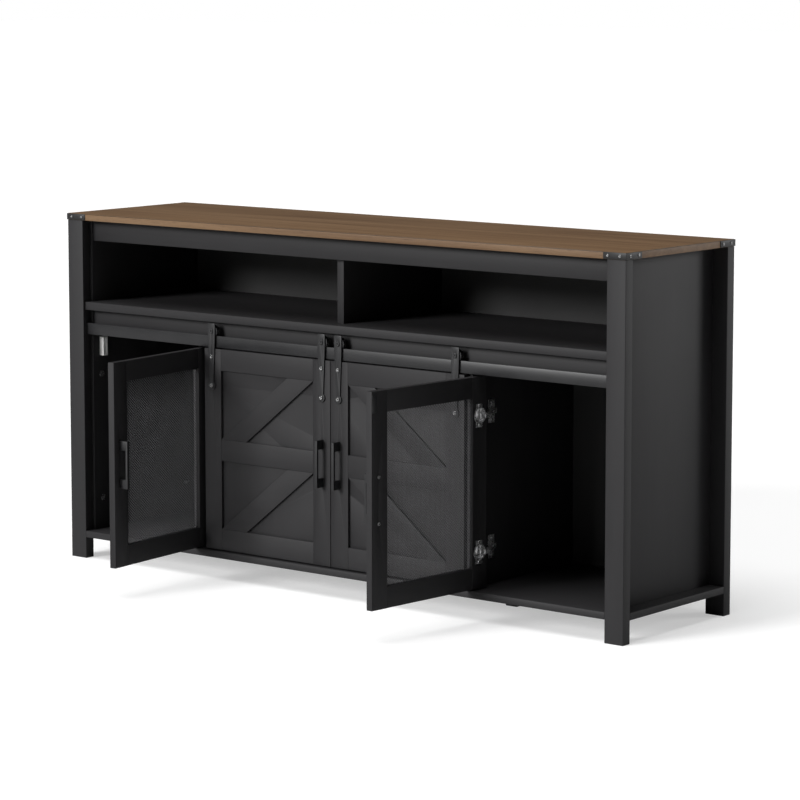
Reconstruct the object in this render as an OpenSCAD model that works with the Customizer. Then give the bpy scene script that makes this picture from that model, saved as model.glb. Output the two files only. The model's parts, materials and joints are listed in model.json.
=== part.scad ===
// TV stand with two sliding barn doors on a flat rail and two hinged mesh doors.
// Millimetres. Origin on the floor, under the middle of the box round the whole
// stand with its mesh doors open. +X to the viewer's right, +Y to the back, +Z up.

/* [Overall] */
// Width over the outer faces of the posts
stand_w = 1556; // [1250:2:1900]
// Depth over the faces of the posts
stand_d = 398; // [320:2:500]
// Height to the top surface
stand_h = 800; // [660:2:980]

/* [Boards] */
// Thickness of the wooden top
top_t = 15; // [12:1:30]
// Thickness of the base board
base_t = 15; // [12:1:30]
// Height of the legs under the base board
leg_h = 49; // [30:1:120]
// Thickness of the side, partition, apron and valance panels
panel_t = 15; // [12:1:20]
// Thickness of the shelf and of the divider above it
shelf_t = 18; // [15:1:25]
// Thickness of the back panels
back_t = 4; // [3:0.5:8]
// How far the side panels stand in from the outer faces of the posts
side_inset = 37; // [25:1:45]
// Height of the apron under the top
apron_h = 48; // [30:1:80]
// Height of the open bays under the apron
bay_h = 140; // [100:1:200]
// Height of the valance behind the rail
valance_h = 60; // [56:1:90]
// How far the back panels stand in from the back
back_inset = 5; // [0:1:20]

/* [Posts] */
// Post size across the front
post_w = 46; // [38:1:70]
// Post size front to back
post_d = 25; // [20:1:40]
// Width of the two middle feet
foot_w = 30; // [20:1:40]

/* [Barn doors] */
// Width of each barn door
barn_w = 364; // [300:1:440]
// Thickness of the barn doors
barn_t = 15; // [12:1:20]
// Gap between the two barn doors
barn_seam = 2; // [1:0.5:6]
// Width of the stiles and rails of the barn doors
barn_frame_w = 48; // [36:1:60]
// Length of a diagonal board's cut end along the rails
brace_end = 74; // [50:1:100]
// Depth of the panels behind the frame's front
barn_recess = 6; // [3:0.5:8]

/* [Mesh doors] */
// Thickness of the mesh doors
mesh_t = 15; // [15:1:20]
// Width of the mesh doors' frame members
mesh_frame_w = 45; // [44:1:60]
// Thickness of the expanded metal sheet
sheet_t = 1.2; // [0.8:0.1:2]
// How far the mesh doors stand open
open_deg = 95; // [0:1:95]
// Gap at the free edge, the top and the bottom of a mesh door
mesh_gap = 2; // [1.5:0.5:4]

/* [Hardware] */
// Height of the flat rail
rail_h = 26; // [20:1:30]
// Thickness of the flat rail
rail_t = 5; // [4:0.5:6]
// Radius of the hanger wheels
wheel_r = 14; // [12.5:0.5:14]
// Width of the hanger straps at the rail
strap_w = 20; // [16:1:26]
// Thickness of the hanger straps
strap_t = 3; // [2:0.5:4]
// Radius of the wheel axles
axle_r = 3; // [2.5:0.5:4]
// Distance between the two screws of a handle
handle_span = 96; // [64:32:128]
// How far the handles stand out
handle_out = 22; // [18:1:26]
// Length of each leg of the corner brackets
bracket_leg = 55; // [35:1:80]

/* [Hidden] */
$fn = 48;
// Running gap between moving pieces, and clearance of a round pin
run_gap = 0.3;
pin_gap = 0.05;
door_gap = 3;

half_w = stand_w / 2;
top_z = stand_h - top_t;
base_z = leg_h + base_t;
post_in = half_w - post_w;
side_out = half_w - side_inset;
side_in = side_out - panel_t;

// widths that set how far an open mesh door reaches out of the front
valance_set = 29;   // fronts of the apron and the valance behind the posts' faces
barn_out = barn_seam / 2 + barn_w;
partition_out = barn_out + 8.5;
hinge_gap = 3.5;
mesh_x0 = partition_out + hinge_gap;
mesh_w = side_in - mesh_gap - mesh_x0;
pin_edge = 11;      // hinge pin from the door's edge
pin_deep = 7;       // hinge pin behind the door's front
bracket_t = 1.5;
head_r = 3.2;
head_t = 1.2;
door_reach = (mesh_w - pin_edge) * sin(open_deg) - (mesh_t - pin_deep) * cos(open_deg)
             - valance_set - pin_deep;

// middle of the cabinet, so that the whole box is centred on the origin
mid_y = round((max(door_reach, bracket_t + head_t) - bracket_t - head_t) * 5) / 10;
front_y = mid_y - stand_d / 2;
back_y = mid_y + stand_d / 2;
back_face = back_y - back_inset - back_t;
shelf_z1 = top_z - apron_h - bay_h;
shelf_z0 = shelf_z1 - shelf_t;
valance_z0 = shelf_z0 - valance_h;
foot_x = partition_out - 9;
foot_stagger = 7.5;
shelf_set = 6;      // shelf front behind the posts' front faces
bay_y = front_y + valance_set;
board_back = bay_y + panel_t;

// barn doors and their rail
strap_set = 5.5;
barn_y = front_y + strap_set + strap_t;
barn_z0 = base_z + door_gap;
barn_z1 = valance_z0;
barn_h = barn_z1 - barn_z0;
barn_mid_w = 49;
rail_z0 = barn_z1 + door_gap;
rail_z1 = rail_z0 + rail_h;
rail_y = barn_y + 2.5;
groove_gap = 0.5;
flange_t = 1.5;
wheel_y0 = rail_y - groove_gap - flange_t;
wheel_len = rail_t + 2 * (groove_gap + flange_t);
groove_r = wheel_r - 4;
axle_z = rail_z1 + groove_r;
ride_r = groove_r - run_gap;
strap_top = axle_z + 18;
screw_high = barn_z1 - 18;
screw_low = barn_z1 - 82;
strap_end_r = 9.5;
strap_neck_w = 11;
handle_z = (barn_z0 + barn_z1) / 2;
standoff_r = 6;
standoff_pitch = 280;
standoff_count = 5;

// partitions and mesh doors
partition_y = barn_y + barn_t + 3.5;
mesh_z0 = base_z + door_gap;
mesh_z1 = valance_z0 - mesh_gap;
mesh_y = bay_y;
pin_x = mesh_x0 + pin_edge;
pin_y = mesh_y + pin_deep;
cup_edge = 22.5;
cup_r = 17.5;
cup_wall = 2;
cup_deep = 12.5;
cup_room = 0.1;
cup_from_end = 82;
cup_floor = 0.6;
flange_tall = 50;   // height of a hinge's flange and of its mounting plate
flange_screw = 21;  // flange screws above and below the cup
wing_in = 7;        // flange sides from the cup's axis
wing_out = 12;
pin_half = 11.5;
arm_tall = 11;
arm_half_t = 1.25;  // half the thickness of a hinge arm
arm_in_cup = 13;    // how far the arm runs into the cup from the pin
arm_crank = 15;     // arm's crank behind the pin
arm_slope = 4.5;
arm_run = 50;       // arm along the partition
plate_back = 45;    // mounting plate behind the pin
plate_deep = 20;
plate_t = 1.6;
plate_screw = 18;
hinge_pin_r = 1.5;
eye_r = 2.5;
hinge_z = [mesh_z1 - cup_from_end, mesh_z0 + cup_from_end - 4];
grip_edge = 20;     // handle screws from the free edge
screw_r = 2;
screw_room = 0.2;

// handles
bar_w = 7;
bar_t = 5;
foot_len = 20;
handle_len = handle_span + 8;

// catches, caps and brackets
catch_w = 13;
catch_d = 15;
catch_h = 44;
catch_z = mesh_z1 - 47;
strike_t = 1;
strike_room = 0.4;
cap_r = 7.5;
cap_t = 0.8;
bracket_h = top_t - 1;

// ---- helpers -------------------------------------------------------------

// A box from its low corner to its high corner
module span(a, b) { translate(a) cube(b - a); }

// A round bar along +Y from the given point
module bar_y(p, r, len) { translate(p) rotate([-90, 0, 0]) cylinder(r = r, h = len); }

// The same thing on the right (side = 1) or mirrored to the left (side = -1)
module sided(side) { if (side > 0) children(); else mirror([1, 0, 0]) children(); }

// A right-hand mesh door, drawn shut, swung open about its hinge pins
module swung() {
    translate([pin_x, pin_y, 0]) rotate([0, 0, -open_deg]) translate([-pin_x, -pin_y, 0])
        children();
}

// ---- carcass -------------------------------------------------------------

module top_board() {
    color("sienna") span([-half_w, front_y, top_z], [half_w, back_y, stand_h]);
}

// One angle bracket round the front right corner of the top
module corner_bracket() {
    z = top_z + (top_t - bracket_h) / 2;
    difference() {
        span([half_w - bracket_leg, front_y - bracket_t, z],
             [half_w + bracket_t, front_y + bracket_leg, z + bracket_h]);
        span([half_w - bracket_leg - 1, front_y, z - 1],
             [half_w, front_y + bracket_leg + 1, z + bracket_h + 1]);
    }
}

module four_corners() {
    for (sx = [0, 1], sy = [0, 1]) mirror([sx, 0, 0]) translate([0, mid_y, 0])
        mirror([0, sy, 0]) translate([0, -mid_y, 0]) children();
}

module corner_brackets() { color("dimgray") four_corners() corner_bracket(); }

module bracket_screws() {
    z = top_z + top_t / 2;
    color("silver") four_corners() for (d = [14, 44]) {
        bar_y([half_w - d, front_y - bracket_t - head_t, z], head_r, head_t);
        translate([half_w + bracket_t, front_y + d, z]) rotate([0, 90, 0])
            cylinder(r = head_r, h = head_t);
    }
}

module post_pair(y) {
    color("darkslategray") for (s = [-1, 1])
        sided(s) span([post_in, y, 0], [half_w, y + post_d, top_z]);
}

module front_posts() { post_pair(front_y); }

module back_posts() { post_pair(back_y - post_d); }

module side_panel(side) {
    color("gray") sided(side)
        span([side_in, front_y + post_d, base_z], [side_out, back_y - post_d, top_z]);
}

module side_panel_left() { side_panel(-1); }

module side_panel_right() { side_panel(1); }

module base_board() {
    color("slategray") translate([0, mid_y, leg_h]) linear_extrude(base_t) difference() {
        square([stand_w, stand_d], center = true);
        for (sx = [-1, 1], sy = [-1, 1])
            translate([sx * (half_w - post_w / 2), sy * (stand_d - post_d) / 2])
                square([post_w, post_d], center = true);
    }
}

// Two short legs under the partitions, the right one a little further forward
module middle_feet() {
    color("black") for (s = [-1, 1])
        translate([s * foot_x, mid_y - s * foot_stagger, leg_h / 2])
            cube([foot_w, foot_w, leg_h], center = true);
}

module shelf_board() {
    half = [
        [post_in, front_y + shelf_set], [post_in, front_y + post_d],
        [side_in, front_y + post_d], [side_in, back_y - post_d],
        [post_in, back_y - post_d], [post_in, back_face]
    ];
    color("lightslategray") translate([0, 0, shelf_z0]) linear_extrude(shelf_t)
        polygon(concat(half, [for (i = [5 : -1 : 0]) [-half[i][0], half[i][1]]]));
}

module upper_divider() {
    color("gray")
        span([-shelf_t / 2, board_back, shelf_z1], [shelf_t / 2, back_face, top_z]);
}

module front_apron() {
    color("dimgray") span([-side_in, bay_y, top_z - apron_h], [side_in, board_back, top_z]);
}

module valance_panel() {
    color("dimgray") span([-side_in, bay_y, valance_z0], [side_in, board_back, shelf_z0]);
}

// The partition's top is notched to pass behind the valance
module partition(side) {
    color("gray") sided(side) translate([partition_out - panel_t, 0, 0])
        rotate([90, 0, 90]) linear_extrude(panel_t) polygon([
            [partition_y, base_z], [back_face, base_z], [back_face, shelf_z0],
            [board_back, shelf_z0], [board_back, valance_z0], [partition_y, valance_z0]
        ]);
}

module partition_left() { partition(-1); }

module partition_right() { partition(1); }

module back_sheet(x0, x1, z0, z1) {
    color("dimgray") span([x0, back_face, z0], [x1, back_face + back_t, z1]);
}

module back_panel_upper() { back_sheet(-post_in, post_in, shelf_z0 + shelf_t / 2, top_z); }

module back_panel_left() {
    back_sheet(-post_in, -(partition_out - panel_t / 2), base_z, shelf_z0 + shelf_t / 2);
}

module back_panel_center() {
    x = partition_out - panel_t / 2;
    back_sheet(-x, x, base_z, shelf_z0 + shelf_t / 2);
}

module back_panel_right() {
    back_sheet(partition_out - panel_t / 2, post_in, base_z, shelf_z0 + shelf_t / 2);
}

// Covers of the cam locks, on the inner faces of the side panels and partitions
module cam_lock_caps() {
    color("gainsboro") for (s = [-1, 1]) sided(s) {
        for (z = [mesh_z0 + 70, mesh_z0 + 360], y = [front_y + 52, back_y - 60]) {
            translate([side_in - cap_t, y, z]) rotate([0, 90, 0])
                cylinder(r = cap_r, h = cap_t);
            translate([partition_out - panel_t - cap_t, y, z]) rotate([0, 90, 0])
                cylinder(r = cap_r, h = cap_t);
        }
    }
}

// ---- rail ----------------------------------------------------------------

module barn_rail() {
    color("black") span([-post_in, rail_y, rail_z0], [post_in, rail_y + rail_t, rail_z1]);
}

module rail_standoffs() {
    y = rail_y + rail_t;
    first = -(standoff_count - 1) / 2;
    color("black") for (i = [0 : standoff_count - 1])
        bar_y([(first + i) * standoff_pitch, y, (rail_z0 + rail_z1) / 2],
              standoff_r, bay_y - y);
}

// ---- mesh doors, drawn shut on the right -----------------------------------

module mesh_stile_free() {
    x = mesh_x0 + mesh_w;
    difference() {
        span([x - mesh_frame_w, mesh_y, mesh_z0], [x, mesh_y + mesh_t, mesh_z1]);
        for (s = [-1, 1])
            bar_y([x - grip_edge, mesh_y - 1, handle_z + s * handle_span / 2],
                  screw_r + screw_room, mesh_t + 2);
    }
}

module mesh_stile_hinge() {
    y1 = mesh_y + mesh_t;
    difference() {
        span([mesh_x0, mesh_y, mesh_z0], [mesh_x0 + mesh_frame_w, y1, mesh_z1]);
        for (z = hinge_z)
            bar_y([mesh_x0 + cup_edge, y1 - cup_deep - cup_room, z],
                  cup_r + cup_room, cup_deep + 1);
    }
}

module mesh_rails() {
    x0 = mesh_x0 + mesh_frame_w;
    x1 = mesh_x0 + mesh_w - mesh_frame_w;
    for (z = [mesh_z0, mesh_z1 - mesh_frame_w])
        span([x0, mesh_y, z], [x1, mesh_y + mesh_t, z + mesh_frame_w]);
}

module mesh_sheet() {
    y = mesh_y + mesh_t / 2;
    span([mesh_x0 + mesh_frame_w, y, mesh_z0 + mesh_frame_w],
         [mesh_x0 + mesh_w - mesh_frame_w, y + sheet_t, mesh_z1 - mesh_frame_w]);
}

// A bar handle standing off a front face at y, centred on x
module bar_handle(x, y) {
    z0 = handle_z - handle_len / 2;
    difference() {
        span([x - bar_w / 2, y - handle_out, z0], [x + bar_w / 2, y, z0 + handle_len]);
        span([x - bar_w, y - handle_out + bar_t, z0 + foot_len],
             [x + bar_w, y + 1, z0 + handle_len - foot_len]);
        for (s = [-1, 1])
            bar_y([x, y - 10, handle_z + s * handle_span / 2], screw_r + screw_room / 2, 11);
    }
}

// Two screws through a door into a handle, with their heads on the back face
module handle_screw_pair(x, y, t) {
    for (s = [-1, 1]) {
        z = handle_z + s * handle_span / 2;
        bar_y([x, y - 8, z], screw_r, t + 8);
        bar_y([x, y + t, z], 4, 2.2);
    }
}

module mesh_handle() { bar_handle(mesh_x0 + mesh_w - grip_edge, mesh_y); }

module mesh_handle_screws() {
    handle_screw_pair(mesh_x0 + mesh_w - grip_edge, mesh_y, mesh_t);
}

// Cup, flange and pivot pin of both hinges
module mesh_hinge_cups() {
    x = mesh_x0 + cup_edge;
    y1 = mesh_y + mesh_t;
    flange = cup_wall / 2;
    for (z = hinge_z) {
        difference() {
            union() {
                bar_y([x, y1 - cup_deep, z], cup_r, cup_deep + flange);
                span([x - wing_in, y1, z - flange_tall / 2],
                     [x + wing_out, y1 + flange, z + flange_tall / 2]);
                for (s = [-1, 1])
                    bar_y([x + 3, y1, z + s * flange_screw], head_r, flange + head_t);
            }
            bar_y([x, y1 - cup_deep + cup_floor, z], cup_r - cup_wall, cup_deep + 5);
        }
        translate([pin_x, pin_y, z - pin_half]) cylinder(r = hinge_pin_r, h = 2 * pin_half);
    }
}

// Steel plate that meets the magnetic catch
module mesh_strike() {
    x1 = mesh_x0 + mesh_w - 1;
    y = mesh_y + mesh_t;
    span([x1 - catch_w, y, catch_z + 3], [x1, y + strike_t, catch_z + catch_h - 3]);
}

// Fixed cranked arms: an eye on the pin, a bend round the door's edge, and a plate
module hinge_arm_pair() {
    reach = partition_out - pin_x;
    path = [[0, 0], [arm_in_cup, -1], [arm_in_cup + 1, arm_crank],
            [reach + 2, arm_crank + arm_slope]];
    for (z = hinge_z) translate([pin_x, pin_y, z]) {
        difference() {
            union() {
                translate([0, 0, -arm_tall / 2]) linear_extrude(arm_tall) union() {
                    circle(r = eye_r);
                    for (i = [0 : 2]) {
                        d = path[i + 1] - path[i];
                        translate(path[i]) rotate(atan2(d[1], d[0]))
                            translate([0, -arm_half_t]) square([norm(d), 2 * arm_half_t]);
                        translate(path[i + 1]) circle(r = arm_half_t);
                    }
                    translate([reach, arm_crank + arm_slope - 1]) square([4, arm_run]);
                }
                translate([reach, plate_back, -flange_tall / 2])
                    cube([plate_t, plate_deep, flange_tall]);
            }
            translate([0, 0, -arm_tall]) cylinder(r = hinge_pin_r + pin_gap, h = 2 * arm_tall);
        }
        for (s = [-1, 1])
            translate([reach + 1, plate_back + plate_deep / 2, s * plate_screw])
                rotate([0, 90, 0]) cylinder(r = head_r, h = plate_t - 1 + head_t);
    }
}

module hinge_arms_right() { color("silver") hinge_arm_pair(); }

module hinge_arms_left() { color("silver") sided(-1) hinge_arm_pair(); }

module magnetic_catches() {
    y = mesh_y + mesh_t + strike_t + strike_room;
    color("whitesmoke") for (s = [-1, 1])
        sided(s) span([side_in - catch_w, y, catch_z], [side_in, y + catch_d, catch_z + catch_h]);
}

module mesh_left_stile_free() { color("dimgray") sided(-1) swung() mesh_stile_free(); }

module mesh_left_stile_hinge() { color("gray") sided(-1) swung() mesh_stile_hinge(); }

module mesh_left_rails() { color("slategray") sided(-1) swung() mesh_rails(); }

module mesh_left_sheet() { color("tan") sided(-1) swung() mesh_sheet(); }

module mesh_left_handle() { color("black") sided(-1) swung() mesh_handle(); }

module mesh_left_handle_screws() { color("silver") sided(-1) swung() mesh_handle_screws(); }

module mesh_left_hinge_cups() { color("lightgray") sided(-1) swung() mesh_hinge_cups(); }

module mesh_left_strike() { color("silver") sided(-1) swung() mesh_strike(); }

module mesh_right_stile_free() { color("dimgray") swung() mesh_stile_free(); }

module mesh_right_stile_hinge() { color("gray") swung() mesh_stile_hinge(); }

module mesh_right_rails() { color("slategray") swung() mesh_rails(); }

module mesh_right_sheet() { color("tan") swung() mesh_sheet(); }

module mesh_right_handle() { color("black") swung() mesh_handle(); }

module mesh_right_handle_screws() { color("silver") swung() mesh_handle_screws(); }

module mesh_right_hinge_cups() { color("lightgray") swung() mesh_hinge_cups(); }

module mesh_right_strike() { color("silver") swung() mesh_strike(); }

// ---- barn doors, drawn on the right ----------------------------------------

barn_x0 = barn_seam / 2;
barn_x1 = barn_out;
hang_x = [barn_x0 + barn_frame_w / 2 - 1.5, barn_x1 - barn_frame_w / 2 + 1.5];
panel_y = barn_y + barn_recess;
mid_z = (barn_z0 + barn_z1) / 2;

// Backing panel behind the frame and the diagonals
module barn_panel() {
    difference() {
        span([barn_x0, panel_y, barn_z0], [barn_x1, barn_y + barn_t, barn_z1]);
        for (x = hang_x, z = [screw_high, screw_low]) bar_y([x, barn_y, z], 2.1, barn_t + 1);
        for (s = [-1, 1]) bar_y([hang_x[0], barn_y, handle_z + s * handle_span / 2],
                                screw_r + screw_room, barn_t + 1);
    }
}

module barn_stiles() {
    difference() {
        for (x = [barn_x0, barn_x1 - barn_frame_w])
            span([x, barn_y, barn_z0], [x + barn_frame_w, panel_y, barn_z1]);
        for (x = hang_x, z = [screw_high, screw_low])
            bar_y([x, barn_y - 1, z], 2.1, barn_t + 1);
        for (s = [-1, 1]) bar_y([hang_x[0], barn_y - 1, handle_z + s * handle_span / 2],
                                screw_r + screw_room, barn_t + 1);
    }
}

// Low edges of the three cross rails, and their heights
rail_lows = [barn_z0, mid_z - barn_mid_w / 2, barn_z1 - barn_frame_w];
rail_highs = [barn_z0 + barn_frame_w, mid_z + barn_mid_w / 2, barn_z1];

module barn_rails() {
    for (i = [0 : 2])
        span([barn_x0 + barn_frame_w, barn_y, rail_lows[i]],
             [barn_x1 - barn_frame_w, panel_y, rail_highs[i]]);
}

// One diagonal board in each of the two panels, from corner to corner
module barn_braces() {
    x0 = barn_x0 + barn_frame_w;
    x1 = barn_x1 - barn_frame_w;
    for (i = [0, 1]) {
        z0 = rail_highs[i];
        z1 = rail_lows[i + 1];
        translate([0, panel_y, 0]) rotate([90, 0, 0]) linear_extrude(barn_recess)
            polygon([[x0, z1], [x1 - brace_end, z0], [x1, z0], [x0 + brace_end, z1]]);
    }
}

// Outline of one strap: square top, gentle taper, round end
module strap_outline() {
    neck_z = screw_low + strap_end_r * 0.8;
    union() {
        polygon([
            [-strap_w / 2, strap_top], [-strap_w / 2, axle_z - 14],
            [-strap_neck_w / 2, neck_z], [-strap_neck_w / 2, screw_low],
            [strap_neck_w / 2, screw_low], [strap_neck_w / 2, neck_z],
            [strap_w / 2, axle_z - 14], [strap_w / 2, strap_top]
        ]);
        translate([0, screw_low]) circle(r = strap_end_r);
    }
}

module barn_hangers() {
    for (x = hang_x) translate([x, barn_y, 0]) rotate([90, 0, 0])
        linear_extrude(strap_t) difference() {
            strap_outline();
            translate([0, axle_z]) circle(r = axle_r + pin_gap);
            for (z = [screw_high, screw_low]) translate([0, z]) circle(r = 2.1);
        }
}

// Axle bolts of the wheels, strap screws and handle screws
module barn_bolts() {
    y = barn_y - strap_t;
    for (x = hang_x) {
        bar_y([x, y, axle_z], axle_r, wheel_y0 + wheel_len + 1 - y);
        bar_y([x, y - 1.8, axle_z], 5.5, 1.8);
        bar_y([x, wheel_y0 + wheel_len + 0.4, axle_z], 5, 2);
        for (z = [screw_high, screw_low]) {
            bar_y([x, y, z], 2, strap_t + barn_t - 1);
            bar_y([x, y - 1.8, z], 4.5, 1.8);
        }
    }
    handle_screw_pair(hang_x[0], barn_y, barn_t);
}

module barn_handle() { bar_handle(hang_x[0], barn_y); }

module wheel(x) {
    translate([x, wheel_y0, axle_z]) rotate([-90, 0, 0]) rotate_extrude() polygon([
        [axle_r + pin_gap, 0], [wheel_r - 0.5, 0], [wheel_r, 0.4],
        [wheel_r, flange_t - 0.2], [ride_r, flange_t], [ride_r, wheel_len - flange_t],
        [wheel_r, wheel_len - flange_t + 0.2], [wheel_r, wheel_len - 0.4],
        [wheel_r - 0.5, wheel_len], [axle_r + pin_gap, wheel_len]
    ]);
}

module barn_left_panel() { color("dimgray") sided(-1) barn_panel(); }

module barn_left_stiles() { color("slategray") sided(-1) barn_stiles(); }

module barn_left_rails() { color("gray") sided(-1) barn_rails(); }

module barn_left_braces() { color("lightslategray") sided(-1) barn_braces(); }

module barn_left_hangers() { color("black") sided(-1) barn_hangers(); }

module barn_left_bolts() { color("silver") sided(-1) barn_bolts(); }

module barn_left_handle() { color("black") sided(-1) barn_handle(); }

module barn_left_wheel_outer() { color("dimgray") sided(-1) wheel(hang_x[1]); }

module barn_left_wheel_inner() { color("dimgray") sided(-1) wheel(hang_x[0]); }

module barn_right_panel() { color("dimgray") barn_panel(); }

module barn_right_stiles() { color("slategray") barn_stiles(); }

module barn_right_rails() { color("gray") barn_rails(); }

module barn_right_braces() { color("lightslategray") barn_braces(); }

module barn_right_hangers() { color("black") barn_hangers(); }

module barn_right_bolts() { color("silver") barn_bolts(); }

module barn_right_handle() { color("black") barn_handle(); }

module barn_right_wheel_outer() { color("dimgray") wheel(hang_x[1]); }

module barn_right_wheel_inner() { color("dimgray") wheel(hang_x[0]); }

top_board();
corner_brackets();
bracket_screws();
front_posts();
back_posts();
side_panel_left();
side_panel_right();
base_board();
middle_feet();
shelf_board();
upper_divider();
front_apron();
valance_panel();
partition_left();
partition_right();
back_panel_upper();
back_panel_left();
back_panel_center();
back_panel_right();
barn_rail();
rail_standoffs();
cam_lock_caps();
magnetic_catches();
hinge_arms_left();
hinge_arms_right();
mesh_left_stile_free();
mesh_left_stile_hinge();
mesh_left_rails();
mesh_left_sheet();
mesh_left_handle();
mesh_left_handle_screws();
mesh_left_hinge_cups();
mesh_left_strike();
mesh_right_stile_free();
mesh_right_stile_hinge();
mesh_right_rails();
mesh_right_sheet();
mesh_right_handle();
mesh_right_handle_screws();
mesh_right_hinge_cups();
mesh_right_strike();
barn_left_panel();
barn_left_stiles();
barn_left_rails();
barn_left_braces();
barn_left_hangers();
barn_left_bolts();
barn_left_handle();
barn_left_wheel_outer();
barn_left_wheel_inner();
barn_right_panel();
barn_right_stiles();
barn_right_rails();
barn_right_braces();
barn_right_hangers();
barn_right_bolts();
barn_right_handle();
barn_right_wheel_outer();
barn_right_wheel_inner();
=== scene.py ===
import json
import math

import bmesh
import bpy
from mathutils import Matrix, Vector


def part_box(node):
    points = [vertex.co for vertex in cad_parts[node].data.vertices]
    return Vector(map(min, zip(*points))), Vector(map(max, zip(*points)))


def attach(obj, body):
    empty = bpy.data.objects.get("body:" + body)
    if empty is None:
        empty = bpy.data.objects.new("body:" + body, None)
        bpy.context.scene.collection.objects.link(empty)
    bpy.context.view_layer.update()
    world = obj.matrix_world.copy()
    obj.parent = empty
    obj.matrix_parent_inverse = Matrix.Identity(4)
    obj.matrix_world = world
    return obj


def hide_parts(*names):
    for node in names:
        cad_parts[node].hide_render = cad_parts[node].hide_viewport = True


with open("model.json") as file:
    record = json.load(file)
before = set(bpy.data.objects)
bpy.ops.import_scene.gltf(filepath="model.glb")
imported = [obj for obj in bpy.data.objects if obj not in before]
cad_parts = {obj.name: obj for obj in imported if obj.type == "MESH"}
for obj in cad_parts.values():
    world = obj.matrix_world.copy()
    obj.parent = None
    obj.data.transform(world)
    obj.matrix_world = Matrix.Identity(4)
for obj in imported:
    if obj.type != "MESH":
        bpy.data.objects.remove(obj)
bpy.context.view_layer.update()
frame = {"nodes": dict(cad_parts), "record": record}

MM = 0.001
nodes = frame["nodes"]
joints = {j["name"]: j for j in frame["record"]["behaviour"]["joints"]}
bodies = frame["record"]["behaviour"]["bodies"]
body_of = {n: b for b, names in bodies.items() for n in names}


# ---- shader maths ------------------------------------------------------------

class Wire:
    """An output socket that Python sums can be written with."""

    def __init__(self, finish, socket):
        self.finish, self.socket = finish, socket

    def _sum(self, operation, a, b, clamp=False):
        return self.finish.node("ShaderNodeMath", {"operation": operation, "use_clamp": clamp},
                                {0: a, 1: b})

    def __add__(self, other):
        return self._sum("ADD", self, other)

    def __radd__(self, other):
        return self._sum("ADD", other, self)

    def __sub__(self, other):
        return self._sum("SUBTRACT", self, other)

    def __rsub__(self, other):
        return self._sum("SUBTRACT", other, self)

    def __mul__(self, other):
        return self._sum("MULTIPLY", self, other)

    def above(self, other):
        """One where this is larger than other, else zero."""
        return self._sum("GREATER_THAN", self, other)

    def held(self):
        """Kept between zero and one."""
        return self._sum("ADD", self, 0.0, clamp=True)


class Finish:
    """A material under construction round one Principled shader."""

    def __init__(self, name, **fixed):
        self.material = bpy.data.materials.new(name)
        self.material.use_nodes = True
        self.tree = self.material.node_tree
        self.shader = self.tree.nodes["Principled BSDF"]
        for socket, value in fixed.items():
            self.shader.inputs[socket.replace("_", " ")].default_value = value
        self.place = self.node("ShaderNodeTexCoord", out="Object")

    def node(self, kind, settings=None, inputs=None, out=0):
        """Adds a node; "stops" in its settings are a colour ramp's (place, colour) pairs."""
        made = self.tree.nodes.new(kind)
        for key, value in (settings or {}).items():
            if key == "stops":
                ramp = made.color_ramp
                while len(ramp.elements) < len(value):
                    ramp.elements.new(0.5)
                for stop, (at, colour) in zip(ramp.elements, value):
                    stop.position, stop.color = at, (*colour, 1.0)
            else:
                setattr(made, key, value)
        for key, value in (inputs or {}).items():
            if isinstance(value, Wire):
                self.tree.links.new(value.socket, made.inputs[key])
            else:
                made.inputs[key].default_value = value
        return Wire(self, made.outputs[out])

    def noise(self, scale, stretch=(1, 1, 1), detail=3.0, rough=0.5, distortion=0.0):
        """Cloudy pattern fixed to the piece; a high stretch means fine along that axis."""
        where = self.node("ShaderNodeMapping", None, {"Vector": self.place, "Scale": stretch})
        return self.node("ShaderNodeTexNoise", None, {
            "Vector": where, "Scale": scale, "Detail": detail, "Roughness": rough,
            "Distortion": distortion})

    def ramp(self, value, stops):
        return self.node("ShaderNodeValToRGB", {"stops": stops}, {0: value})

    def blend(self, amount, first, second):
        """Colour mix from first to second."""
        inputs = {0: amount, 6: first if isinstance(first, Wire) else (*first, 1.0),
                  7: second if isinstance(second, Wire) else (*second, 1.0)}
        return self.node("ShaderNodeMix", {"data_type": "RGBA"}, inputs, out=2)

    def along(self, axis):
        """Place on the piece along one axis, in metres."""
        return self.node("ShaderNodeSeparateXYZ", None, {0: self.place}, out=axis)

    def feed(self, **inputs):
        """Joins wires to the shader's sockets, spaces written as underscores."""
        for socket, value in inputs.items():
            self.tree.links.new(value.socket, self.shader.inputs[socket.replace("_", " ")])
        return self

    def bump(self, height, strength, distance):
        self.feed(Normal=self.node("ShaderNodeBump", None, {
            "Height": height, "Strength": strength, "Distance": distance}))
        return self


# ---- finishes ----------------------------------------------------------------

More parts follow.
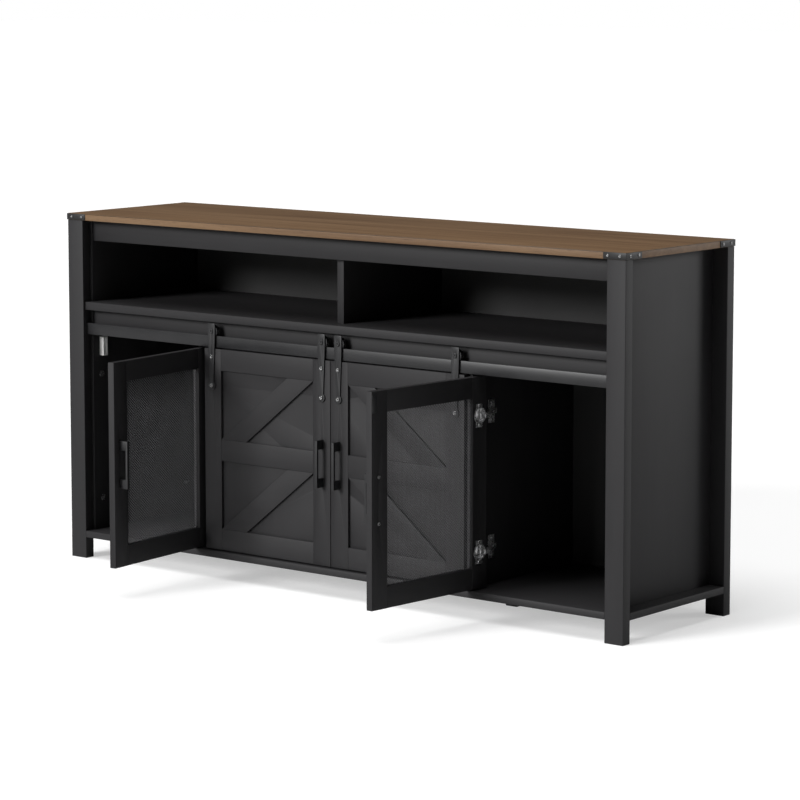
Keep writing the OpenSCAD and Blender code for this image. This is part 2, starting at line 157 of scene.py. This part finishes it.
def walnut_finish(top_z):
    """Walnut decor on the top: long streaks and short pores along the board."""
    f = Finish("walnut", Specular_IOR_Level=0.30)
    boards = f.noise(1.0, (0.35, 5.0, 5.0), detail=2, rough=0.4)
    figure = f.noise(1.0, (0.8, 17.0, 17.0), detail=4, rough=0.6, distortion=1.6)
    streaks = f.noise(1.0, (1.7, 62.0, 62.0), detail=5, rough=0.62, distortion=0.5)
    lines = f.noise(1.0, (4.0, 240.0, 240.0), detail=3, rough=0.6)
    pores = f.noise(1.0, (34.0, 900.0, 900.0), detail=2, rough=0.5)
    pore_mask = ((pores - 0.60) * 9.0).held()
    tone = boards * 0.24 + figure * 0.30 + streaks * 0.30 + lines * 0.16
    colour = f.ramp(tone, [(0.30, (0.060, 0.030, 0.014)), (0.42, (0.115, 0.064, 0.031)),
                           (0.54, (0.165, 0.098, 0.050)), (0.72, (0.230, 0.145, 0.080))])
    colour = f.blend(pore_mask * 0.45, colour, (0.030, 0.015, 0.008))
    line_low, line_high = top_z - 1.6 * MM, top_z - 0.3 * MM
    height = f.along(2)
    edge_line = height.above(line_low) * (1.0 - height.above(line_high))
    colour = f.blend(edge_line * 0.85, colour, (0.018, 0.010, 0.006))
    f.feed(Base_Color=colour, Roughness=(0.44 + streaks * 0.16 + pore_mask * 0.12).held())
    return f.bump(streaks * 0.5 - pore_mask, 0.22, 0.3 * MM).material


def painted_board(name, tone, along):
    """Matt charcoal foil on board: faint pressed grain, slight cloudiness and rubbed dust."""
    f = Finish(name, Specular_IOR_Level=0.30)
    cloud = f.noise(4.5, detail=4, rough=0.6)
    grain = f.noise(1.0, along, detail=5, rough=0.65)
    speck = f.noise(900.0, detail=1)
    mix = (cloud * 0.45 + grain * 0.35 + speck * 0.2)
    dark = (tone * 0.80, tone * 0.77, tone * 0.83)
    light = (tone * 1.22, tone * 1.17, tone * 1.25)
    f.feed(Base_Color=f.ramp(mix, [(0.30, dark), (0.70, light)]),
           Roughness=(0.50 + cloud * 0.12 + speck * 0.06).held())
    return f.bump(grain * 0.7 + speck * 0.3, 0.12, 0.12 * MM).material


def coated_steel(name, tone, rough, metal=0.0):
    """Powder coat: fine orange peel over steel."""
    f = Finish(name, Specular_IOR_Level=0.42, Coat_Roughness=0.25, Coat_Weight=0.04)
    peel = f.noise(1400.0, detail=2, rough=0.4)
    cloud = f.noise(22.0, detail=3)
    low = tuple(v * 0.82 for v in tone)
    high = tuple(v * 1.18 for v in tone)
    f.feed(Base_Color=f.ramp(peel * 0.4 + cloud * 0.6, [(0.3, low), (0.7, high)]),
           Roughness=(rough + cloud * 0.10 + peel * 0.06).held(),
           Metallic=(metal - cloud * 0.05).held())
    return f.bump(peel, 0.20, 0.10 * MM).material


def zinc_finish(name, tone, metal):
    """Zinc plate: drawn marks and dull patches."""
    f = Finish(name)
    drawn = f.noise(1.0, (260.0, 260.0, 2600.0), detail=3, rough=0.6)
    patch = f.noise(160.0, detail=4, rough=0.6)
    colour = f.ramp(patch * 0.6 + drawn * 0.4, [
        (0.28, (tone * 0.62, tone * 0.62, tone * 0.64)), (0.55, (tone * 0.85,) * 3),
        (0.75, (tone, tone, tone * 0.99))])
    f.feed(Base_Color=colour, Roughness=(0.14 + patch * 0.22 + drawn * 0.06).held(),
           Metallic=(metal + 0.05 - patch * 0.18).held())
    return f.bump(drawn, 0.10, 0.05 * MM).material


def moulded_plastic(name, tone, rough):
    """Moulded plastic: a fine spark-eroded texture with slight flow marks."""
    f = Finish(name)
    spark = f.noise(2600.0, detail=1)
    flow = f.noise(60.0, (1.0, 1.0, 0.3), detail=3)
    low = tuple(v * 0.90 for v in tone)
    high = tuple(min(v * 1.06, 1) for v in tone)
    f.feed(Base_Color=f.ramp(spark * 0.3 + flow * 0.7, [(0.3, low), (0.7, high)]),
           Roughness=(rough + flow * 0.12 + spark * 0.05).held())
    return f.bump(spark, 0.18, 0.08 * MM).material


def hardboard_finish():
    """Thin back panels: dark lacquered fibreboard with a fine fibrous fleck."""
    f = Finish("lacquered_hardboard")
    fibre = f.noise(1.0, (240.0, 240.0, 420.0), detail=4, rough=0.7, distortion=0.8)
    cloud = f.noise(6.0, detail=3)
    f.feed(Base_Color=f.ramp(fibre * 0.55 + cloud * 0.45, [(0.3, (0.013, 0.013, 0.013)),
                                                          (0.7, (0.026, 0.025, 0.025))]),
           Roughness=(0.52 + fibre * 0.2).held())
    return f.bump(fibre, 0.20, 0.15 * MM).material


# ---- making pieces -------------------------------------------------------------

def copy_of(node):
    """A clean closed copy of a CAD node's shape, with flat faces left whole."""
    bm = bmesh.new()
    bm.from_mesh(nodes[node].data)
    bmesh.ops.remove_doubles(bm, verts=bm.verts, dist=0.002 * MM)
    bmesh.ops.dissolve_limit(bm, angle_limit=math.radians(1.0), verts=bm.verts, edges=bm.edges)
    return bm


def soften(bm, width, segments=2):
    """Rounds every corner edge, and leaves the facets of round shapes alone."""
    facet_turn = math.radians(32.0)
    edges = [e for e in bm.edges if len(e.link_faces) == 2
             and e.calc_face_angle(0.0) > facet_turn]
    bmesh.ops.bevel(bm, geom=edges, offset=width, offset_type="OFFSET", affect="EDGES",
                    segments=segments, profile=0.5, material=-1, clamp_overlap=True,
                    loop_slide=True)
    return bm


def round_rims(bm, least_radius, width, segments):
    """Rounds the rim of every round flat end."""
    rims = {e for face, *_ in cap_faces(bm, least_radius) for e in face.edges}
    bmesh.ops.bevel(bm, geom=list(rims), offset=width, offset_type="OFFSET", affect="EDGES",
                    segments=segments, profile=0.5, material=-1, clamp_overlap=True)


def finished(bm, name, material, body, stands_for=(), smooth=40.0):
    """Turns a bmesh into a piece that rides on a body."""
    mesh = bpy.data.meshes.new(name)
    bm.to_mesh(mesh)
    bm.free()
    piece = bpy.data.objects.new(name, mesh)
    bpy.context.scene.collection.objects.link(piece)
    mesh.materials.append(material)
    mesh.shade_smooth()
    mesh.set_sharp_from_angle(angle=math.radians(smooth))
    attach(piece, body)
    if stands_for:
        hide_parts(*stands_for)
    return piece


def cap_faces(bm, least_radius):
    """Round flat ends: faces whose corners all lie on one circle."""
    least_corners, most_uneven = 12, 1.06
    found = []
    for face in bm.faces:
        if len(face.verts) < least_corners:
            continue
        centre = face.calc_center_median()
        radii = [(v.co - centre).length for v in face.verts]
        if min(radii) > least_radius and max(radii) < most_uneven * min(radii):
            found.append((face, centre, face.normal.copy(), sum(radii) / len(radii)))
    return found


def cross_reach(angle, arm, half):
    """Distance from the middle to the outline of a cross-shaped recess."""
    a = abs((angle + math.pi / 4) % (math.pi / 2) - math.pi / 4)
    return arm / math.cos(a) if math.tan(a) < half / arm else half / math.sin(a)


def cut_recess(bm, face, centre, normal, radius, deep):
    """A cross recess sunk in the middle of a round head."""
    rings = (radius * 0.30, radius * 0.06)
    arm, half_width, twist = radius * 0.52, radius * 0.13, 0.5
    side = Vector((0, 0, 1)) if abs(normal.z) < 0.9 else normal.orthogonal().normalized()
    other = normal.cross(side)
    for ring in rings:
        bmesh.ops.inset_region(bm, faces=[face], thickness=ring, use_even_offset=True)
    for v in face.verts:
        out = v.co - centre
        angle = math.atan2(out.dot(other), out.dot(side)) + twist
        reach = cross_reach(angle, arm, half_width)
        flat = Vector(out - normal * out.dot(normal)).normalized()
        v.co = centre + flat * reach
    pushed = bmesh.ops.extrude_face_region(bm, geom=[face])
    low = [g for g in pushed["geom"] if isinstance(g, bmesh.types.BMVert)]
    bmesh.ops.translate(bm, verts=low, vec=-normal * deep)
    bmesh.ops.delete(bm, geom=[face], context="FACES")


def board(node, material, width, segments=2):
    """A CAD node's own shape with its edges rounded."""
    return finished(soften(copy_of(node), width, segments), node + "_finished", material,
                    body_of[node], [node])


def screw_set(node, material, least_radius, rim=0.5 * MM, deep=1.0 * MM):
    """A node of round-headed screws with recesses cut in their heads."""
    bm = copy_of(node)
    round_rims(bm, least_radius, rim, 3)
    for face, centre, normal, radius in cap_faces(bm, least_radius - rim * 1.2):
        cut_recess(bm, face, centre, normal, radius, min(deep, radius * 0.4))
    bmesh.ops.recalc_face_normals(bm, faces=bm.faces)
    return finished(bm, node + "_finished", material, body_of[node], [node])


def shut_matrix(side):
    """Takes a mesh door from where it is stored to shut."""
    joint = joints["mesh_door_" + side + "_hinge"]
    pin = Vector(joint["pos_m"])
    turn = Matrix.Rotation(math.radians(joint["range_deg"][0]), 4, Vector(joint["axis"]))
    return Matrix.Translation(pin) @ turn @ Matrix.Translation(-pin)


def expanded_sheet(side, material):
    """Expanded metal: diamond openings in staggered rows, each strand dished."""
    node = "mesh_" + side + "_sheet"
    to_shut = shut_matrix(side)
    corners = [to_shut @ v.co for v in nodes[node].data.vertices]
    low = Vector([min(c[i] for c in corners) for i in range(3)])
    high = Vector([max(c[i] for c in corners) for i in range(3)])
    middle = (low + high) / 2
    wide, thick, tall = high - low
    pitch_x, pitch_z, strand = 7.6 * MM, 6.2 * MM, 0.42 * MM
    dish, sheet_t, inset, least_share = 0.45 * MM, 0.5 * MM, 0.05 * MM, 0.30
    cells = 2 * (int(wide / pitch_x + tall / pitch_z) // 2) + 4
    bm = bmesh.new()
    bmesh.ops.create_grid(bm, x_segments=cells, y_segments=cells, size=cells / 2)
    bmesh.ops.rotate(bm, verts=bm.verts, cent=(0, 0, 0),
                     matrix=Matrix.Rotation(math.pi / 4, 3, "Z"))
    bmesh.ops.scale(bm, verts=bm.verts,
                    vec=(pitch_x / math.sqrt(2), pitch_z / math.sqrt(2), 1))
    bmesh.ops.rotate(bm, verts=bm.verts, cent=(0, 0, 0),
                     matrix=Matrix.Rotation(math.pi / 2, 3, "X"))
    for axis, half in ((0, wide / 2 - inset), (2, tall / 2 - inset)):
        for sign in (-1, 1):
            at, out = Vector(), Vector()
            at[axis], out[axis] = sign * half, sign
            geom = list(bm.verts) + list(bm.edges) + list(bm.faces)
            bmesh.ops.bisect_plane(bm, geom=geom, plane_co=at, plane_no=out, clear_outer=True)
    holes = [f for f in bm.faces if f.calc_area() > pitch_x * pitch_z * least_share]
    bmesh.ops.inset_individual(bm, faces=holes, thickness=strand, depth=dish,
                               use_even_offset=True)
    bmesh.ops.delete(bm, geom=holes, context="FACES_ONLY")
    bmesh.ops.recalc_face_normals(bm, faces=bm.faces)
    bmesh.ops.solidify(bm, geom=bm.faces, thickness=sheet_t)
    ys = [v.co.y for v in bm.verts]
    bmesh.ops.translate(bm, verts=bm.verts,
                        vec=middle - Vector((0, (min(ys) + max(ys)) / 2, 0)))
    bmesh.ops.transform(bm, verts=bm.verts, matrix=to_shut.inverted())
    bmesh.ops.recalc_face_normals(bm, faces=bm.faces)
    return finished(bm, node + "_expanded", material, "mesh_door_" + side, [node], 25.0)


def adjusters(side, material):
    """Three adjusting screws with cross recesses on each hinge arm."""
    arm_t, half_plate, long_screw = 4 * MM, 25 * MM, 2.4 * MM
    behind_pin_and_radius = ((27 * MM, 2.6 * MM), (38 * MM, 3.2 * MM), (62 * MM, 2.8 * MM))
    least_radius, rim, recess = 2.0 * MM, 0.3 * MM, 0.7 * MM
    pin = joints["mesh_door_" + side + "_hinge"]["pos_m"]
    out = 1 if side == "right" else -1
    low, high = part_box("hinge_arms_" + side)
    face_x = (low[0] + arm_t) if out > 0 else (high[0] - arm_t)
    turn = Matrix.Rotation(out * math.pi / 2, 4, "Y")
    bm = bmesh.new()
    for z in (low[2] + half_plate, high[2] - half_plate):
        for behind, radius in behind_pin_and_radius:
            place = Matrix.Translation((face_x, pin[1] + behind, z)) @ turn
            bmesh.ops.create_cone(bm, cap_ends=True, segments=24, radius1=radius,
                                  radius2=radius, depth=long_screw, matrix=place)
    round_rims(bm, least_radius, rim, 2)
    for face, centre, normal, radius in cap_faces(bm, least_radius - rim):
        if normal.x * out > 0.9:
            cut_recess(bm, face, centre, normal, radius, recess)
    bmesh.ops.recalc_face_normals(bm, faces=bm.faces)
    return finished(bm, "hinge_adjusters_" + side, material, "cabinet")


def catches(material):
    """Magnetic catches: a rounded housing with a magnet slot in front and a sunk side panel."""
    border, wall, sunk, least_area = 2.2 * MM, 0.3 * MM, 0.9 * MM, 300 * MM * MM
    bm = soften(copy_of("magnetic_catches"), 1.2 * MM, 3)
    for face in sorted(bm.faces, key=lambda f: -f.calc_area()):
        if face.calc_area() < least_area:
            break
        inward = face.normal.x * face.calc_center_median().x < 0
        if abs(face.normal.x) > 0.9 and inward or face.normal.y < -0.9:
            bmesh.ops.inset_region(bm, faces=[face], thickness=border, use_even_offset=True)
            push = -face.normal * sunk
            bmesh.ops.inset_region(bm, faces=[face], thickness=wall, use_even_offset=True)
            bmesh.ops.translate(bm, verts=face.verts, vec=push)
    bmesh.ops.recalc_face_normals(bm, faces=bm.faces)
    return finished(bm, "magnetic_catches_finished", material, "cabinet",
                    ["magnetic_catches"])


# ---- the stand -----------------------------------------------------------------

top_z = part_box("top_board")[1][2]
rail_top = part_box("barn_rail")[1][2]
charcoal = 0.0155
walnut = walnut_finish(top_z)
upright = painted_board("charcoal_upright", charcoal, along=(60.0, 60.0, 3.0))
level = painted_board("charcoal_level", charcoal, along=(3.0, 60.0, 60.0))
hardboard = hardboard_finish()
black_steel = coated_steel("black_powder_coat", (0.011, 0.011, 0.012), 0.34)
bracket_steel = coated_steel("dark_bracket_coat", (0.0045, 0.0045, 0.0045), 0.46)
mesh_steel = coated_steel("mesh_coat", (0.12, 0.12, 0.124), 0.34, 0.40)
zinc = zinc_finish("bright_zinc", 0.92, 0.93)
screw_zinc = zinc_finish("screw_zinc", 0.26, 0.85)
white_plastic = moulded_plastic("catch_plastic", (0.78, 0.78, 0.76), 0.42)
foot_plastic = moulded_plastic("foot_plastic", (0.020, 0.020, 0.021), 0.50)

board("top_board", walnut, 0.8 * MM, 3)
for name in ("front_posts", "back_posts"):
    board(name, upright, 1.0 * MM, 3)
for name in ("side_panel_left", "side_panel_right", "upper_divider", "partition_left",
             "partition_right"):
    board(name, upright, 0.5 * MM)
for name in ("base_board", "shelf_board", "front_apron", "valance_panel"):
    board(name, level, 0.6 * MM)
for name in ("back_panel_upper", "back_panel_left", "back_panel_center", "back_panel_right"):
    board(name, hardboard, 0.3 * MM, 1)
board("middle_feet", foot_plastic, 1.5 * MM, 3)

board("corner_brackets", bracket_steel, 0.35 * MM)
board("barn_rail", black_steel, 0.5 * MM)
board("rail_standoffs", black_steel, 0.5 * MM)
screw_set("cam_lock_caps", screw_zinc, 6.0 * MM, 0.4 * MM, 1.0 * MM)
catches(white_plastic)
screw_set("bracket_screws", screw_zinc, 2.6 * MM)

for side in ("left", "right"):
    mesh, barn = "mesh_" + side + "_", "barn_" + side + "_"
    board("hinge_arms_" + side, zinc, 0.3 * MM)
    adjusters(side, screw_zinc)
    for name in ("stile_free", "stile_hinge"):
        board(mesh + name, upright, 0.9 * MM, 3)
    board(mesh + "rails", level, 0.9 * MM, 3)
    expanded_sheet(side, mesh_steel)
    board(mesh + "handle", black_steel, 1.4 * MM, 4)
    board(mesh + "hinge_cups", zinc, 0.25 * MM)
    board(mesh + "strike", black_steel, 0.3 * MM)
    screw_set(mesh + "handle_screws", screw_zinc, 3.4 * MM)
    board(barn + "panel", upright, 0.4 * MM)
    board(barn + "stiles", upright, 0.9 * MM, 3)
    board(barn + "rails", level, 0.9 * MM, 3)
    board(barn + "braces", level, 0.9 * MM, 3)
    board(barn + "hangers", black_steel, 0.5 * MM, 3)
    board(barn + "handle", black_steel, 1.4 * MM, 4)
    bolts = screw_set(barn + "bolts", screw_zinc, 3.4 * MM)
    bolts.data.materials.append(black_steel)
    for face in bolts.data.polygons:  # the wheels' own axles are black
        if face.center.z > rail_top:
            face.material_index = 1
    for where in ("outer", "inner"):
        board(barn + "wheel_" + where, black_steel, 0.4 * MM)


# ---- studio --------------------------------------------------------------------

def stage_floor():
    """Pale floor that gives the eye a little light of its own."""
    bm = bmesh.new()
    bmesh.ops.create_grid(bm, x_segments=1, y_segments=1, size=40.0)
    mesh = bpy.data.meshes.new("floor")
    bm.to_mesh(mesh)
    bm.free()
    floor = bpy.data.objects.new("floor", mesh)
    bpy.context.scene.collection.objects.link(floor)
    f = Finish("pale_floor", Roughness=0.9, Emission_Strength=0.45)
    seen = f.node("ShaderNodeLightPath")  # one to the camera's eye, zero to other rays
    f.feed(Base_Color=f.ramp(f.noise(0.6, detail=2), [(0.3, (0.59, 0.59, 0.59)),
                                                      (0.7, (0.62, 0.62, 0.62))]),
           Emission_Color=f.ramp(seen, [(0.0, (0, 0, 0)), (1.0, (1, 1, 1))]))
    mesh.materials.append(f.material)


def soft_light(name, place, aim, size, power):
    """A round lamp turned towards a point."""
    data = bpy.data.lights.new(name, "AREA")
    data.shape, data.size, data.energy = "DISK", size, power
    lamp = bpy.data.objects.new(name, data)
    bpy.context.scene.collection.objects.link(lamp)
    lamp.location = place
    lamp.rotation_euler = (Vector(aim) - Vector(place)).to_track_quat("-Z", "Y").to_euler()


def broad_sun(name, place, strength, spread):
    """An even light from far off, wide enough for soft shadows."""
    data = bpy.data.lights.new(name, "SUN")
    data.energy, data.angle = strength, math.radians(spread)
    lamp = bpy.data.objects.new(name, data)
    bpy.context.scene.collection.objects.link(lamp)
    lamp.location = place
    lamp.rotation_euler = (-Vector(place)).to_track_quat("-Z", "Y").to_euler()


def studio_world():
    """White backdrop for the eye, a softer grey glow for the light."""
    world = bpy.data.worlds.new("studio")
    bpy.context.scene.world = world
    world.use_nodes = True
    tree = world.node_tree
    glow = tree.nodes["Background"]
    glow.inputs["Color"].default_value = (1, 1, 1, 1)
    seen = tree.nodes.new("ShaderNodeLightPath")
    level_of = tree.nodes.new("ShaderNodeMapRange")
    level_of.inputs["To Min"].default_value = 0.05
    level_of.inputs["To Max"].default_value = 1.0
    tree.links.new(seen.outputs["Is Camera Ray"], level_of.inputs["Value"])
    tree.links.new(level_of.outputs["Result"], glow.inputs["Strength"])


stage_floor()
studio_world()
broad_sun("key", (-1.7, -4.9, 1.9), 3.1, 20.0)
broad_sun("overhead", (-0.1, -0.25, 1.0), 2.2, 40.0)
soft_light("side", (3.6, 3.8, 1.6), (0.6, 0.2, 0.4), 1.6, 75.0)

camera = bpy.data.cameras.new("camera")
camera.sensor_width = 36.0
camera.lens = 143.847
camera.shift_x, camera.shift_y = -0.003, -0.08
camera.clip_end = 100.0
viewer = bpy.data.objects.new("camera", camera)
viewer.location = (4.3982, -5.2881, 1.4060)
viewer.rotation_euler = (math.pi / 2 - 0.12107, 0.0, 0.67494)
bpy.context.scene.collection.objects.link(viewer)
bpy.context.scene.camera = viewer
bpy.context.scene.view_settings.view_transform = "Standard"
bpy.context.scene.view_settings.look = "None"
